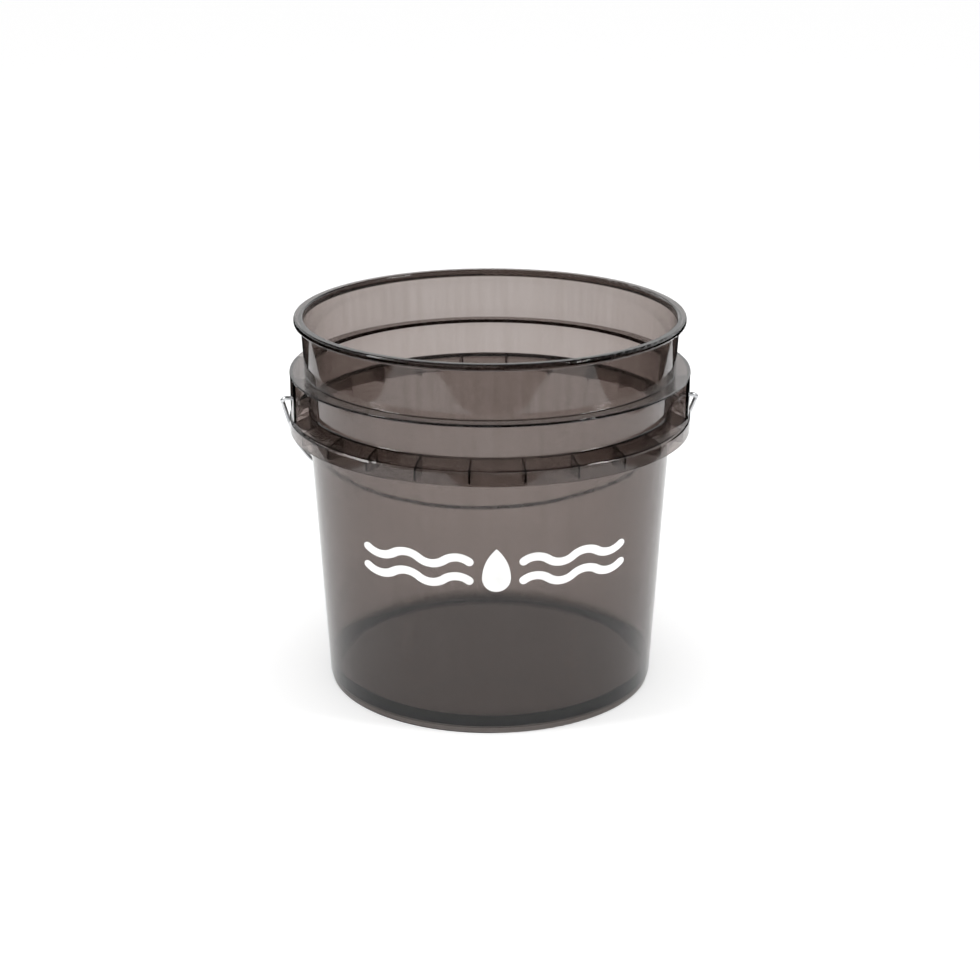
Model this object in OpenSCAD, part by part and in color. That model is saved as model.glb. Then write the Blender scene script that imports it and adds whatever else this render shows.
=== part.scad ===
// Round clear-plastic wash pail with a free-swinging wire bail and a printed mark on its front.
// The foot stands on z = 0 and the pail's axis is the Z axis. The ears are on the X axis.

/* [Pail] */
// Height from the foot to the top of the rim
pail_h = 294; // [280:1:310]
// Outside diameter of the wall, carried down to the foot
wall_foot_d = 256.8; // [250:0.2:262]
// Outside diameter of the wall, carried up to the rim
wall_top_d = 290.4; // [286:0.2:292]
// Thickness of the wall
wall_t = 2.2; // [1.6:0.1:2.6]
// Outside diameter of the rim bead
rim_d = 300; // [298:0.5:304]
// Height of the rim bead
rim_h = 5; // [3.6:0.1:6]

/* [Base] */
// Height of the top of the base disc
base_top_z = 7.8; // [6.5:0.1:10]
// Thickness of the base disc
base_t = 2.6; // [2:0.1:3]
// How far the foot ring is set in from the wall
foot_step = 1; // [0.6:0.1:1.4]
// Width of the foot ring
foot_w = 2.8; // [2.4:0.1:3.2]
// Radius of the foot ring's edges
foot_edge_r = 0.8; // [0.4:0.1:1]
// Radius of the inside corner between the base disc and the wall
base_corner_r = 12; // [4:0.5:14]

/* [Bands] */
// Height of the upper flange's lower face
flange_z = 249.5; // [246:0.1:256]
// Thickness of the upper flange
flange_t = 2; // [1.8:0.1:3]
// Outside diameter of the upper flange
flange_d = 308.6; // [308:0.2:309.4]
// Outside diameter of the lower hoop
hoop_d = 310.2; // [309.8:0.2:311]
// Height at which the hoop's top leaves the wall
hoop_top_z = 223; // [220:0.1:224]
// Downward slope of the hoop's top, in degrees
hoop_slope = 23; // [10:1:26]
// Radius of the hoop's outer corner
hoop_corner_r = 3; // [2.6:0.1:3.6]
// Height of the hoop's lower edge
hoop_bottom_z = 205.7; // [203:0.1:209]
// Thickness of the hoop
hoop_t = 2.4; // [1.8:0.1:2.6]
// Number of ribs under the hoop
rib_n = 24; // [12:4:36]
// Thickness of each rib
rib_t = 1.5; // [1:0.1:2]

/* [Ears] */
// Half of the angle that each ear takes up round the pail
ear_angle = 13; // [11:0.5:14]
// Thickness of the ear's front web and end plates
ear_t = 2.2; // [1.8:0.1:2.4]
// Height of the bail's pivot axis
pivot_z = 227; // [226:0.5:230]
// Diameter of the hole that the bail turns in
ear_hole_d = 4.2; // [3.9:0.1:5]

/* [Bail] */
// Diameter of the steel wire
wire_d = 3.3; // [3:0.1:3.4]
// Radius of the bail's half circle, to the middle of the wire
bail_r = 156.5; // [156:0.5:158]
// Distance from the pivot axis down to the middle of the half circle
bail_drop = 38; // [36:0.5:42]
// Distance from the pail's axis to the bail's outer bend
bail_corner_x = 161.3; // [160.8:0.1:162]
// Radius of the outer bend, to the middle of the wire
outer_bend_r = 4; // [3:0.5:4.5]
// Distance from the pail's axis to the hook inside the ear
hook_x = 148.6; // [148:0.1:149]
// Radius of the hook's bend, to the middle of the wire
hook_bend_r = 3; // [2.5:0.5:3]
// Distance from the pivot axis to the end of the hook
hook_len = 8; // [6:0.5:10]
// Gap between the resting bail and the back of the wall
rest_gap = 0.4; // [0.3:0.1:1]

/* [Print] */
// Width of the printed mark, measured straight across
print_w = 194; // [170:1:200]
// Height of the middle of the mark above the floor
print_z = 135; // [100:1:180]
// Height of the drop in the middle of the mark
drop_h = 34; // [26:1:40]
// Thickness of the ink film
ink_t = 0.15; // [0.1:0.05:0.3]

/* [Hidden] */
$fn = 144;

smoke = [0.36, 0.33, 0.32];
joint_overlap = 0.6; // how far the ribs, plates and flanges run into the wall they grow from
fillet_sink = 0.03; // how far a fillet's arc is sunk into the faces that it joins
corner_sink = 0.01; // how far the hoop's top is sunk below its corner's arc
taper = (wall_top_d - wall_foot_d) / 2 / pail_h;
flange_r = flange_d / 2;
hoop_r = hoop_d / 2;
flange_proud = 0.3; // how far the flange stands out beyond the ears
ear_r = flange_r - flange_proud;
ear_web_r = ear_r - ear_t;
wire_r = wire_d / 2;

// The wall is a cone: its outer and inner radius at height z
function wall_r(z) = wall_foot_d / 2 + taper * z;
function bore_r(z) = wall_r(z) - wall_t;
wall_angle = 90 - atan(taper); // direction in which the wall rises, from the horizontal

plate_angle = ear_t / ear_r * 180 / PI; // that an ear's end plate takes up round the pail

// The middle of the hoop's rounded outer corner, tangent to its sloping top and its skirt
corner_x = hoop_r - hoop_corner_r;
corner_z = hoop_top_z - (corner_x - wall_r(hoop_top_z)) * tan(hoop_slope)
           - hoop_corner_r / cos(hoop_slope);
ear_bottom_z = corner_z - 5; // the ear's lower edge, inside the hoop

// ---- Pail ----

// A rectangle in the r-z plane whose four corners are rounded with true arcs
module round_rect(x0, z0, x1, z1, r) {
    translate([x0 + r, z0]) square([x1 - x0 - 2 * r, z1 - z0]);
    translate([x0, z0 + r]) square([x1 - x0, z1 - z0 - 2 * r]);
    for (x = [x0 + r, x1 - r], z = [z0 + r, z1 - r])
        translate([x, z]) circle(r);
}

// A hollow fillet of radius r in the corner at [x, z] between faces that leave it in the
// directions a1 and a2. Its arc crosses both faces cleanly, since it is sunk into them a little
module fillet(x, z, r, a1, a2) {
    half = (a2 - a1) / 2;
    bisector = [cos(a1 + half), sin(a1 + half)];
    to_centre = (r - fillet_sink) / sin(half) * bisector;
    translate([x, z]) difference() {
        polygon([
            -joint_overlap / sin(half) * bisector,
            to_centre + (r + joint_overlap) * [cos(a1 - 90), sin(a1 - 90)],
            to_centre,
            to_centre + (r + joint_overlap) * [cos(a2 + 90), sin(a2 + 90)]
        ]);
        translate(to_centre) circle(r);
    }
}

module wall_section() {
    polygon([
        [bore_r(base_top_z - base_t), base_top_z - base_t],
        [wall_r(base_top_z - base_t), base_top_z - base_t],
        [wall_r(pail_h - rim_h / 2), pail_h - rim_h / 2],
        [bore_r(pail_h - rim_h / 2), pail_h - rim_h / 2]
    ]);
}

module base_section() {
    // Base disc with its filleted inside corner
    translate([0, base_top_z - base_t]) square([bore_r(base_top_z) + joint_overlap, base_t]);
    fillet(bore_r(base_top_z), base_top_z, base_corner_r, wall_angle, 180);
    // Foot ring, set in from the wall
    foot_x = wall_r(0) - foot_step;
    round_rect(foot_x - foot_w, 0, foot_x, base_top_z - base_t / 2, foot_edge_r);
}

module rim_section() {
    rim_r = rim_d / 2;
    round_rect(bore_r(pail_h - rim_h / 2), pail_h - rim_h, rim_r, pail_h, 1.7);
    fillet(wall_r(pail_h - rim_h), pail_h - rim_h, 2, wall_angle - 180, 0);
}

// A thin flat plate that stands out all round the wall
module flange_section() {
    top_z = flange_z + flange_t;
    round_rect(wall_r(flange_z) - 2 * joint_overlap, flange_z, flange_r, top_z, 0.8);
    fillet(wall_r(top_z), top_z, 1, 0, wall_angle);
    fillet(wall_r(flange_z), flange_z, 0.8, wall_angle - 180, 0);
}

// The hoop's outline at a distance t inside its outer faces. Its top is sunk a hair below the
// corner's arc, so that the two cross cleanly
module hoop_outline(t) {
    start_r = wall_r(hoop_bottom_z) - joint_overlap;
    top_z = corner_z + (hoop_corner_r - t) / cos(hoop_slope) - corner_sink;
    tangent_x = corner_x + (hoop_corner_r - t) * sin(hoop_slope);
    tangent_z = corner_z + (hoop_corner_r - t) * cos(hoop_slope) - corner_sink;
    polygon([
        [start_r, hoop_bottom_z - t],
        [hoop_r - t, hoop_bottom_z - t],
        [hoop_r - t, corner_z],
        [corner_x, corner_z],
        [tangent_x, tangent_z],
        [start_r, top_z + (corner_x - start_r) * tan(hoop_slope)]
    ]);
    translate([corner_x, corner_z]) circle(hoop_corner_r - t);
}

module hoop_section() {
    difference() {
        hoop_outline(0);
        hoop_outline(hoop_t);
    }
    fillet(wall_r(hoop_top_z), hoop_top_z, 1.5, -hoop_slope, wall_angle);
}

// The hoop is cut away between the ears' end plates, so that each ear is open below
module hoop() {
    cut_bottom_z = ear_bottom_z + 1;
    cut_r = wall_r(cut_bottom_z) - wall_t;
    difference() {
        rotate_extrude() hoop_section();
        for (side = [0, 180]) rotate(side) sector(ear_angle - plate_angle / 2)
            translate([cut_r, cut_bottom_z])
                square([ear_web_r + 2 * joint_overlap - cut_r, hoop_top_z + 4 - cut_bottom_z]);
    }
}

// One upright plate for each rib, cut to the space between the wall and the hoop's skirt
module ribs() {
    rib_bottom_z = hoop_bottom_z + 1.5;
    intersection() {
        rotate_extrude() hoop_outline(hoop_t / 2);
        for (i = [0:rib_n - 1])
            rotate((i + 0.5) * 360 / rib_n)
                translate([wall_foot_d / 2, -rib_t / 2, rib_bottom_z])
                    cube([hoop_r - wall_foot_d / 2, rib_t, hoop_top_z - rib_bottom_z]);
    }
}

// A sector of the solid that a section sweeps round the axis, centred on +X
module sector(half_angle) {
    rotate(-half_angle) rotate_extrude(angle = 2 * half_angle) children();
}

// Front web and two end plates that close one ear between the hoop and the flange
module ear() {
    ear_top_z = flange_z + flange_t / 2;
    difference() {
        sector(ear_angle) polygon([
            [wall_r(ear_bottom_z) - joint_overlap, ear_bottom_z],
            [ear_r, ear_bottom_z],
            [ear_r, ear_top_z],
            [wall_r(ear_top_z) - joint_overlap, ear_top_z]
        ]);
        sector(ear_angle - plate_angle)
            translate([wall_r(ear_bottom_z) - wall_t, ear_bottom_z - 1])
                square([ear_web_r - wall_r(ear_bottom_z) + wall_t, ear_top_z - ear_bottom_z + 2]);
        translate([ear_web_r - 1, 0, pivot_z])
            rotate([0, 90, 0]) cylinder(d = ear_hole_d, h = ear_t + 2);
    }
}

module pail() {
    color(smoke) {
        rotate_extrude() {
            wall_section();
            base_section();
            rim_section();
            flange_section();
        }
        hoop();
        ribs();
        for (side = [0, 180]) rotate(side) ear();
    }
}

// ---- Bail ----

// The leg runs from the outer bend to where it is tangent to the half circle
leg_reach = norm([bail_corner_x, bail_drop]);
leg_angle = acos(bail_r / leg_reach) - atan(bail_drop / bail_corner_x);
bend_angle = 90 + leg_angle;
bend_tangent = outer_bend_r * tan(bend_angle / 2);
leg_len = sqrt(leg_reach * leg_reach - bail_r * bail_r) - bend_tangent;
joint_gap = 0.1; // between a straight length and the curve it joins, under a collar
collar_proud = 0.06; // of the wire's surface

// Tilt from straight down at which the middle of the bail comes to rest behind the wall
bail_reach = bail_r + bail_drop;
wall_lean = sqrt(1 + taper * taper);
rest_tilt = asin(((wire_r + rest_gap) * wall_lean + wall_r(pivot_z)) / (bail_reach * wall_lean))
            - atan(taper);

// A bend of the wire in the bail's own plane: it starts at the origin, heading along +X,
// and turns clockwise by angle
module bend(radius, angle) {
    translate([0, -radius]) rotate(90 - angle)
        rotate_extrude(angle = angle) translate([radius, 0]) circle(wire_r);
}

// A straight length of wire from the origin along +X. It stops just short of the curves that it
// joins, and a short collar a hair thicker than the wire bridges each gap. With cut_end, its far
// end is free.
module straight(length, cut_end = false) {
    joints = cut_end ? [0] : [0, length];
    translate([joint_gap, 0, 0]) rotate([0, 90, 0])
        cylinder(r = wire_r, h = length - len(joints) * joint_gap);
    for (x = joints) translate([x, 0, 0]) rotate([0, 90, 0])
        cylinder(r = wire_r + collar_proud, h = 4 * joint_gap, center = true);
}

// Half of the bail, hanging down the Y axis: hook, stub through the ear, outer bend and leg
module bail_end() {
    stub_x = hook_x + hook_bend_r;
    bend_x = bail_corner_x - bend_tangent;
    translate([hook_x, -hook_bend_r]) rotate(-90) straight(hook_len - hook_bend_r, cut_end = true);
    translate([stub_x, 0]) mirror([1, 0]) bend(hook_bend_r, 90);
    translate([stub_x, 0]) straight(bend_x - stub_x);
    translate([bend_x, 0]) bend(outer_bend_r, bend_angle);
    translate([bail_corner_x, 0]) rotate(-bend_angle)
        translate([bend_tangent, 0]) straight(leg_len);
}

module bail() {
    color([0.72, 0.74, 0.75])
        translate([0, 0, pivot_z]) rotate([90 + rest_tilt, 0, 0]) {
            bail_end();
            mirror([1, 0]) bail_end();
            translate([0, -bail_drop]) rotate(180 + leg_angle)
                rotate_extrude(angle = 180 - 2 * leg_angle) translate([bail_r, 0]) circle(wire_r);
        }
}

// ---- Printed mark ----

wave_t = 6.4;
wave_r = 15;
wave_half_angle = 38;
wave_step = 2 * wave_r * sin(wave_half_angle);
wave_rise = wave_r * cos(wave_half_angle);
wave_n = 4; // arcs in each wave
wave_gap = 15; // height between the two waves of a pair
wave_drop = 1; // how far the pairs sit below the middle of the drop

// One arc of a wave, open below, from the origin to [wave_step, 0]
module wave_arc() {
    cut_angle = wave_half_angle + 1; // neighbouring arcs overlap a little
    intersection() {
        translate([wave_step / 2, -wave_rise]) difference() {
            circle(wave_r + wave_t / 2);
            circle(wave_r - wave_t / 2);
        }
        translate([wave_step / 2, -wave_rise]) polygon([
            [0, 0],
            2 * wave_r * [-sin(cut_angle), cos(cut_angle)],
            2 * wave_r * [0, 2 * cos(cut_angle)],
            2 * wave_r * [sin(cut_angle), cos(cut_angle)]
        ]);
    }
}

// A row of n arcs that swing up and down in turn, with round ends
module wave(n) {
    for (i = [0:n - 1])
        translate([i * wave_step, 0]) mirror([0, i % 2]) wave_arc();
    for (x = [0, n * wave_step]) translate([x, 0]) circle(wave_t / 2);
}

// A water drop of height h: a round belly under two arcs that meet in a point
module drop(h) {
    belly_r = 0.31 * h;
    tip_h = h - belly_r;
    side_r = (tip_h * tip_h + belly_r * belly_r) / (2 * belly_r);
    translate([0, belly_r - h / 2]) {
        circle(belly_r);
        intersection() {
            translate([belly_r - side_r, 0]) circle(side_r);
            translate([side_r - belly_r, 0]) circle(side_r);
            translate([-h, 0]) square([2 * h, h]);
        }
    }
}

// The drop stands between two pairs of waves
module mark() {
    start_x = print_w / 2 - wave_t / 2 - wave_n * wave_step;
    drop(drop_h);
    for (side = [0, 1], y = [-1, 1] * wave_gap / 2)
        mirror([side, 0]) translate([start_x, y - wave_drop]) wave(wave_n);
}

module front_print() {
    band = drop_h / 2 + 1;
    color("white") intersection() {
        rotate_extrude() polygon([
            [wall_r(print_z - band), print_z - band],
            [wall_r(print_z - band) + ink_t, print_z - band],
            [wall_r(print_z + band) + ink_t, print_z + band],
            [wall_r(print_z + band), print_z + band]
        ]);
        translate([0, -90, print_z]) rotate([90, 0, 0]) linear_extrude(60) mark();
    }
}

pail();
bail();
front_print();
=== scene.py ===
import math

import bpy
from mathutils import Euler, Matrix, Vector


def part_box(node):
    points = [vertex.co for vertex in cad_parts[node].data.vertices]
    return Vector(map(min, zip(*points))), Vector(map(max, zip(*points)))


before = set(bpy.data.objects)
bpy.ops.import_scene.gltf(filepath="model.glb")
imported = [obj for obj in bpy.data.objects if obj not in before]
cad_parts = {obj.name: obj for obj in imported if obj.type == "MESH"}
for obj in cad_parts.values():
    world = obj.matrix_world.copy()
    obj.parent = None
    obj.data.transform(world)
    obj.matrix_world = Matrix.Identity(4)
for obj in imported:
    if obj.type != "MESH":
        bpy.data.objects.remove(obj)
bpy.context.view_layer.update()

PAIL_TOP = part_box("pail")[1].z

# The camera, measured from the pail's axis over the floor
CAMERA_DISTANCE = 1.5404
CAMERA_HEIGHT = 0.684
CAMERA_PITCH = math.radians(19.12)
CAMERA_ROUND = math.radians(2)  # the ears aren't quite square to the view
CAMERA_LENS = 76.0
SENSOR_WIDTH = 36.0

# The floor, and the black cards that only reflections see
FLOOR_HALF = 12.0
FLOOR_GLOW = 0.29  # the part of its white that is its own light
FLOOR_ALBEDO = 0.82
TABLE_HALF = 0.72  # reflections see the white floor this far out, and the cards beyond
CARD_HEIGHT = 0.0005
CARD_ALBEDO = 0.01

# The world's light, by the sine of the height above the horizon
SKY_LOW_END = 0.3  # white up to here
SKY_HIGH_START = 0.6  # and dim from here up
SKY_LOW = 1.0
SKY_HIGH = 0.12

# The lamps, in metres and watts, all aimed at the middle of the pail
AIM = Vector((0, 0, 0.2))
SUN_PLACE = (0, 0, 3)
SUN_STRENGTH = 1.72
SUN_ANGLE = math.radians(70)
SOFTBOX_ROUND = math.radians(70)  # from the camera's direction, to either side
SOFTBOX_DISTANCE = 1.5
SOFTBOX_HEIGHT = 1.2
SOFTBOX_SIZE = (0.35, 0.8)
SOFTBOX_WATTS = 11
FRONT_PLACE = (0, -2.0, 1.4)
FRONT_SIZE = (1.0, 0.6)
FRONT_WATTS = 3

LIGHT_BOUNCES = 24  # enough to pass through every layer of the clear plastic

# Smoke plastic: its volume tint, and how far up the foot and down the rim it is scuffed
TINT_DENSITY = 1190
TINT_COLOUR = (0.650, 0.606, 0.587, 1)
PLASTIC_IOR = 1.49
FOOT_WEAR = 0.012
RIM_WEAR = 0.003


# ---- Node helpers ----

class Nodes:
    """A material's node tree with short ways to add and wire nodes."""

    def __init__(self, name):
        self.material = bpy.data.materials.new(name)
        self.material.use_nodes = True
        self.tree = self.material.node_tree
        self.tree.nodes.clear()
        self.output = self.tree.nodes.new("ShaderNodeOutputMaterial")

    def add(self, kind, inputs=None, **settings):
        node = self.tree.nodes.new("ShaderNode" + kind)
        for key, value in settings.items():
            setattr(node, key, value)
        for key, value in (inputs or {}).items():
            self.feed(node.inputs[key], value)
        return node

    def feed(self, socket, value):
        if isinstance(value, bpy.types.NodeSocket):
            self.tree.links.new(value, socket)
        else:
            socket.default_value = value

    def stretched(self, scale=(1, 1, 1)):
        """The object's own coordinates, scaled along each axis."""
        place = self.add("TexCoord").outputs["Object"]
        return self.add("Mapping", {"Vector": place, "Scale": scale}).outputs["Vector"]

    def noise(self, vector, scale, detail=3.0, roughness=0.5):
        node = self.add("TexNoise", {"Vector": vector, "Scale": scale, "Detail": detail,
                                     "Roughness": roughness})
        return node.outputs["Fac"]

    def remap(self, value, low, high, to_low, to_high, smooth=False):
        node = self.add("MapRange", {"Value": value, "From Min": low, "From Max": high,
                                     "To Min": to_low, "To Max": to_high})
        if smooth:
            node.interpolation_type = "SMOOTHSTEP"
        return node.outputs["Result"]

    def maths(self, operation, a, b=0.0):
        return self.add("Math", {0: a, 1: b}, operation=operation).outputs[0]

    def mix_colour(self, factor, a, b):
        node = self.add("Mix", data_type="RGBA")
        self.feed(node.inputs[0], factor)
        self.feed(node.inputs[6], a)
        self.feed(node.inputs[7], b)
        return node.outputs[2]

    def bump(self, height, strength, distance):
        return self.add("Bump", {"Height": height, "Strength": strength,
                                 "Distance": distance}).outputs["Normal"]

    def height(self):
        """The height above the floor."""
        place = self.add("TexCoord").outputs["Object"]
        return self.add("SeparateXYZ", {"Vector": place}).outputs["Z"]


def smoke_plastic():
    """Clear plastic with a smoke tint in its depth, faint draw lines, and scuffs where it wears."""
    n = Nodes("smoke_plastic")
    z = n.height()
    streaks = n.noise(n.stretched((1, 1, 0.04)), 160, detail=4)
    ripple = n.noise(n.stretched((1, 1, 0.35)), 16, detail=1)
    scuffs = n.noise(n.stretched(), 420, detail=5, roughness=0.65)
    worn_foot = n.remap(z, 0.0, FOOT_WEAR, 1, 0, smooth=True)
    worn_rim = n.remap(z, PAIL_TOP - RIM_WEAR, PAIL_TOP, 0, 1, smooth=True)
    worn = n.maths("MULTIPLY", n.maths("MAXIMUM", worn_foot, worn_rim),
                   n.remap(scuffs, 0.5, 0.62, 0, 1))
    roughness = n.maths("ADD", n.remap(streaks, 0.3, 0.7, 0.02, 0.06),
                        n.maths("MULTIPLY", worn, 0.22))
    depth = n.maths("ADD", n.maths("MULTIPLY", streaks, 0.25), ripple)
    shader = n.add("BsdfPrincipled", {
        "Base Color": n.mix_colour(n.remap(streaks, 0.3, 0.7, 0, 1),
                                   (1, 1, 1, 1), (0.93, 0.92, 0.91, 1)),
        "Transmission Weight": 1.0,
        "IOR": PLASTIC_IOR,
        "Roughness": roughness,
        "Normal": n.bump(depth, 0.25, 0.0006),
    })
    tint = n.add("VolumeAbsorption", {"Color": TINT_COLOUR, "Density": TINT_DENSITY})
    n.feed(n.output.inputs["Surface"], shader.outputs[0])
    n.feed(n.output.inputs["Volume"], tint.outputs[0])
    return n.material


def galvanised_wire():
    """Drawn steel wire under bright zinc: fine grain and duller, rougher patches."""
    n = Nodes("galvanised_wire")
    grain = n.noise(n.stretched(), 900, detail=4)
    patches = n.noise(n.stretched(), 90, detail=2)
    shader = n.add("BsdfPrincipled", {
        "Base Color": n.mix_colour(n.remap(patches, 0.35, 0.65, 0, 1),
                                   (0.70, 0.71, 0.72, 1), (0.52, 0.53, 0.55, 1)),
        "Metallic": 1.0,
        "Roughness": n.maths("ADD", n.remap(patches, 0.35, 0.65, 0.16, 0.30),
                             n.remap(grain, 0.4, 0.7, 0.0, 0.08)),
        "Normal": n.bump(grain, 0.25, 0.0001),
    })
    n.feed(n.output.inputs["Surface"], shader.outputs[0])
    return n.material


def white_ink():
    """Screen-printed ink: opaque white, with a fine mesh texture and slightly thin patches."""
    n = Nodes("white_ink")
    fine = n.noise(n.stretched(), 1500, detail=2)
    patches = n.noise(n.stretched(), 60, detail=3)
    shader = n.add("BsdfPrincipled", {
        "Base Color": n.mix_colour(n.remap(patches, 0.4, 0.7, 0, 1),
                                   (0.92, 0.92, 0.91, 1), (0.82, 0.82, 0.81, 1)),
        "Roughness": n.remap(fine, 0.3, 0.7, 0.35, 0.55),
        "Normal": n.bump(fine, 0.2, 0.00005),
    })
    n.feed(n.output.inputs["Surface"], shader.outputs[0])
    return n.material


def dress(node, material):
    """Put a material on a CAD node, whose mesh stays as it is."""
    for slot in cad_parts[node].material_slots:
        slot.material = material


# ---- Studio ----

def add_camera():
    data = bpy.data.cameras.new("camera")
    data.lens = CAMERA_LENS
    data.sensor_width = SENSOR_WIDTH
    data.clip_end = 8 * FLOOR_HALF
    camera = bpy.data.objects.new("camera", data)
    camera.location = (-CAMERA_DISTANCE * math.sin(CAMERA_ROUND),
                       -CAMERA_DISTANCE * math.cos(CAMERA_ROUND), CAMERA_HEIGHT)
    camera.rotation_euler = Euler((math.pi / 2 - CAMERA_PITCH, 0, -CAMERA_ROUND))
    bpy.context.scene.collection.objects.link(camera)
    bpy.context.scene.camera = camera


def floor_white():
    n = Nodes("floor_white")
    shader = n.add("BsdfPrincipled", {
        "Base Color": (FLOOR_ALBEDO, FLOOR_ALBEDO, FLOOR_ALBEDO, 1),
        "Roughness": 0.9,
        "Specular IOR Level": 0.0,
        "Emission Color": (1, 1, 1, 1),
        "Emission Strength": FLOOR_GLOW,
    })
    n.feed(n.output.inputs["Surface"], shader.outputs[0])
    return n.material


def flat_piece(name, corners, faces, material):
    mesh = bpy.data.meshes.new(name)
    mesh.from_pydata(corners, [], faces)
    mesh.materials.append(material)
    piece = bpy.data.objects.new(name, mesh)
    bpy.context.scene.collection.objects.link(piece)
    return piece


def square(half, z):
    return [(-half, -half, z), (half, -half, z), (half, half, z), (-half, half, z)]


def add_floor():
    flat_piece("floor", square(FLOOR_HALF, 0), [(0, 1, 2, 3)], floor_white())


def add_cards():
    """Black cards round the table, which only reflections see, as in a glassware studio."""
    n = Nodes("card_black")
    n.feed(n.output.inputs["Surface"],
           n.add("BsdfDiffuse", {"Color": (CARD_ALBEDO, CARD_ALBEDO, CARD_ALBEDO, 1)}).outputs[0])
    corners = square(TABLE_HALF, CARD_HEIGHT) + square(FLOOR_HALF, CARD_HEIGHT)
    faces = [(i, 4 + i, 4 + (i + 1) % 4, (i + 1) % 4) for i in range(4)]
    cards = flat_piece("cards", corners, faces, n.material)
    cards.visible_camera = False
    cards.visible_diffuse = False
    cards.visible_transmission = False
    cards.visible_shadow = False


def add_lamp(name, kind, place, watts, size=None, glossy=True):
    data = bpy.data.lights.new(name, kind)
    data.energy = watts
    if size:
        data.shape = "RECTANGLE"
        data.size, data.size_y = size
    lamp = bpy.data.objects.new(name, data)
    lamp.location = place
    lamp.rotation_euler = (AIM - Vector(place)).to_track_quat("-Z", "Y").to_euler()
    lamp.visible_glossy = glossy
    bpy.context.scene.collection.objects.link(lamp)
    return lamp


def add_lamps():
    for name, side in (("softbox_left", -1), ("softbox_right", 1)):
        angle = -math.pi / 2 - CAMERA_ROUND + side * SOFTBOX_ROUND
        place = (SOFTBOX_DISTANCE * math.cos(angle), SOFTBOX_DISTANCE * math.sin(angle),
                 SOFTBOX_HEIGHT)
        add_lamp(name, "AREA", place, SOFTBOX_WATTS, SOFTBOX_SIZE)
    add_lamp("softbox_front", "AREA", FRONT_PLACE, FRONT_WATTS, FRONT_SIZE, glossy=False)
    sun = add_lamp("overhead", "SUN", SUN_PLACE, SUN_STRENGTH, glossy=False)
    sun.data.angle = SUN_ANGLE


def add_world():
    """White round the horizon and dim overhead, so that upright walls catch crisp light edges."""
    world = bpy.data.worlds.new("studio")
    world.use_nodes = True
    nodes, links = world.node_tree.nodes, world.node_tree.links
    split = nodes.new("ShaderNodeSeparateXYZ")
    ramp = nodes.new("ShaderNodeMapRange")
    ramp.interpolation_type = "SMOOTHSTEP"
    for key, value in (("From Min", SKY_LOW_END), ("From Max", SKY_HIGH_START),
                       ("To Min", SKY_LOW), ("To Max", SKY_HIGH)):
        ramp.inputs[key].default_value = value
    links.new(nodes.new("ShaderNodeTexCoord").outputs["Generated"], split.inputs[0])
    links.new(split.outputs["Z"], ramp.inputs["Value"])
    links.new(ramp.outputs["Result"], nodes["Background"].inputs["Strength"])
    nodes["Background"].inputs["Color"].default_value = (1, 1, 1, 1)
    bpy.context.scene.world = world


add_camera()
add_floor()
add_cards()
add_lamps()
add_world()

dress("pail", smoke_plastic())
dress("bail", galvanised_wire())
dress("front_print", white_ink())

scene = bpy.context.scene
scene.view_settings.view_transform = "Standard"
scene.cycles.max_bounces = LIGHT_BOUNCES
scene.cycles.transmission_bounces = LIGHT_BOUNCES
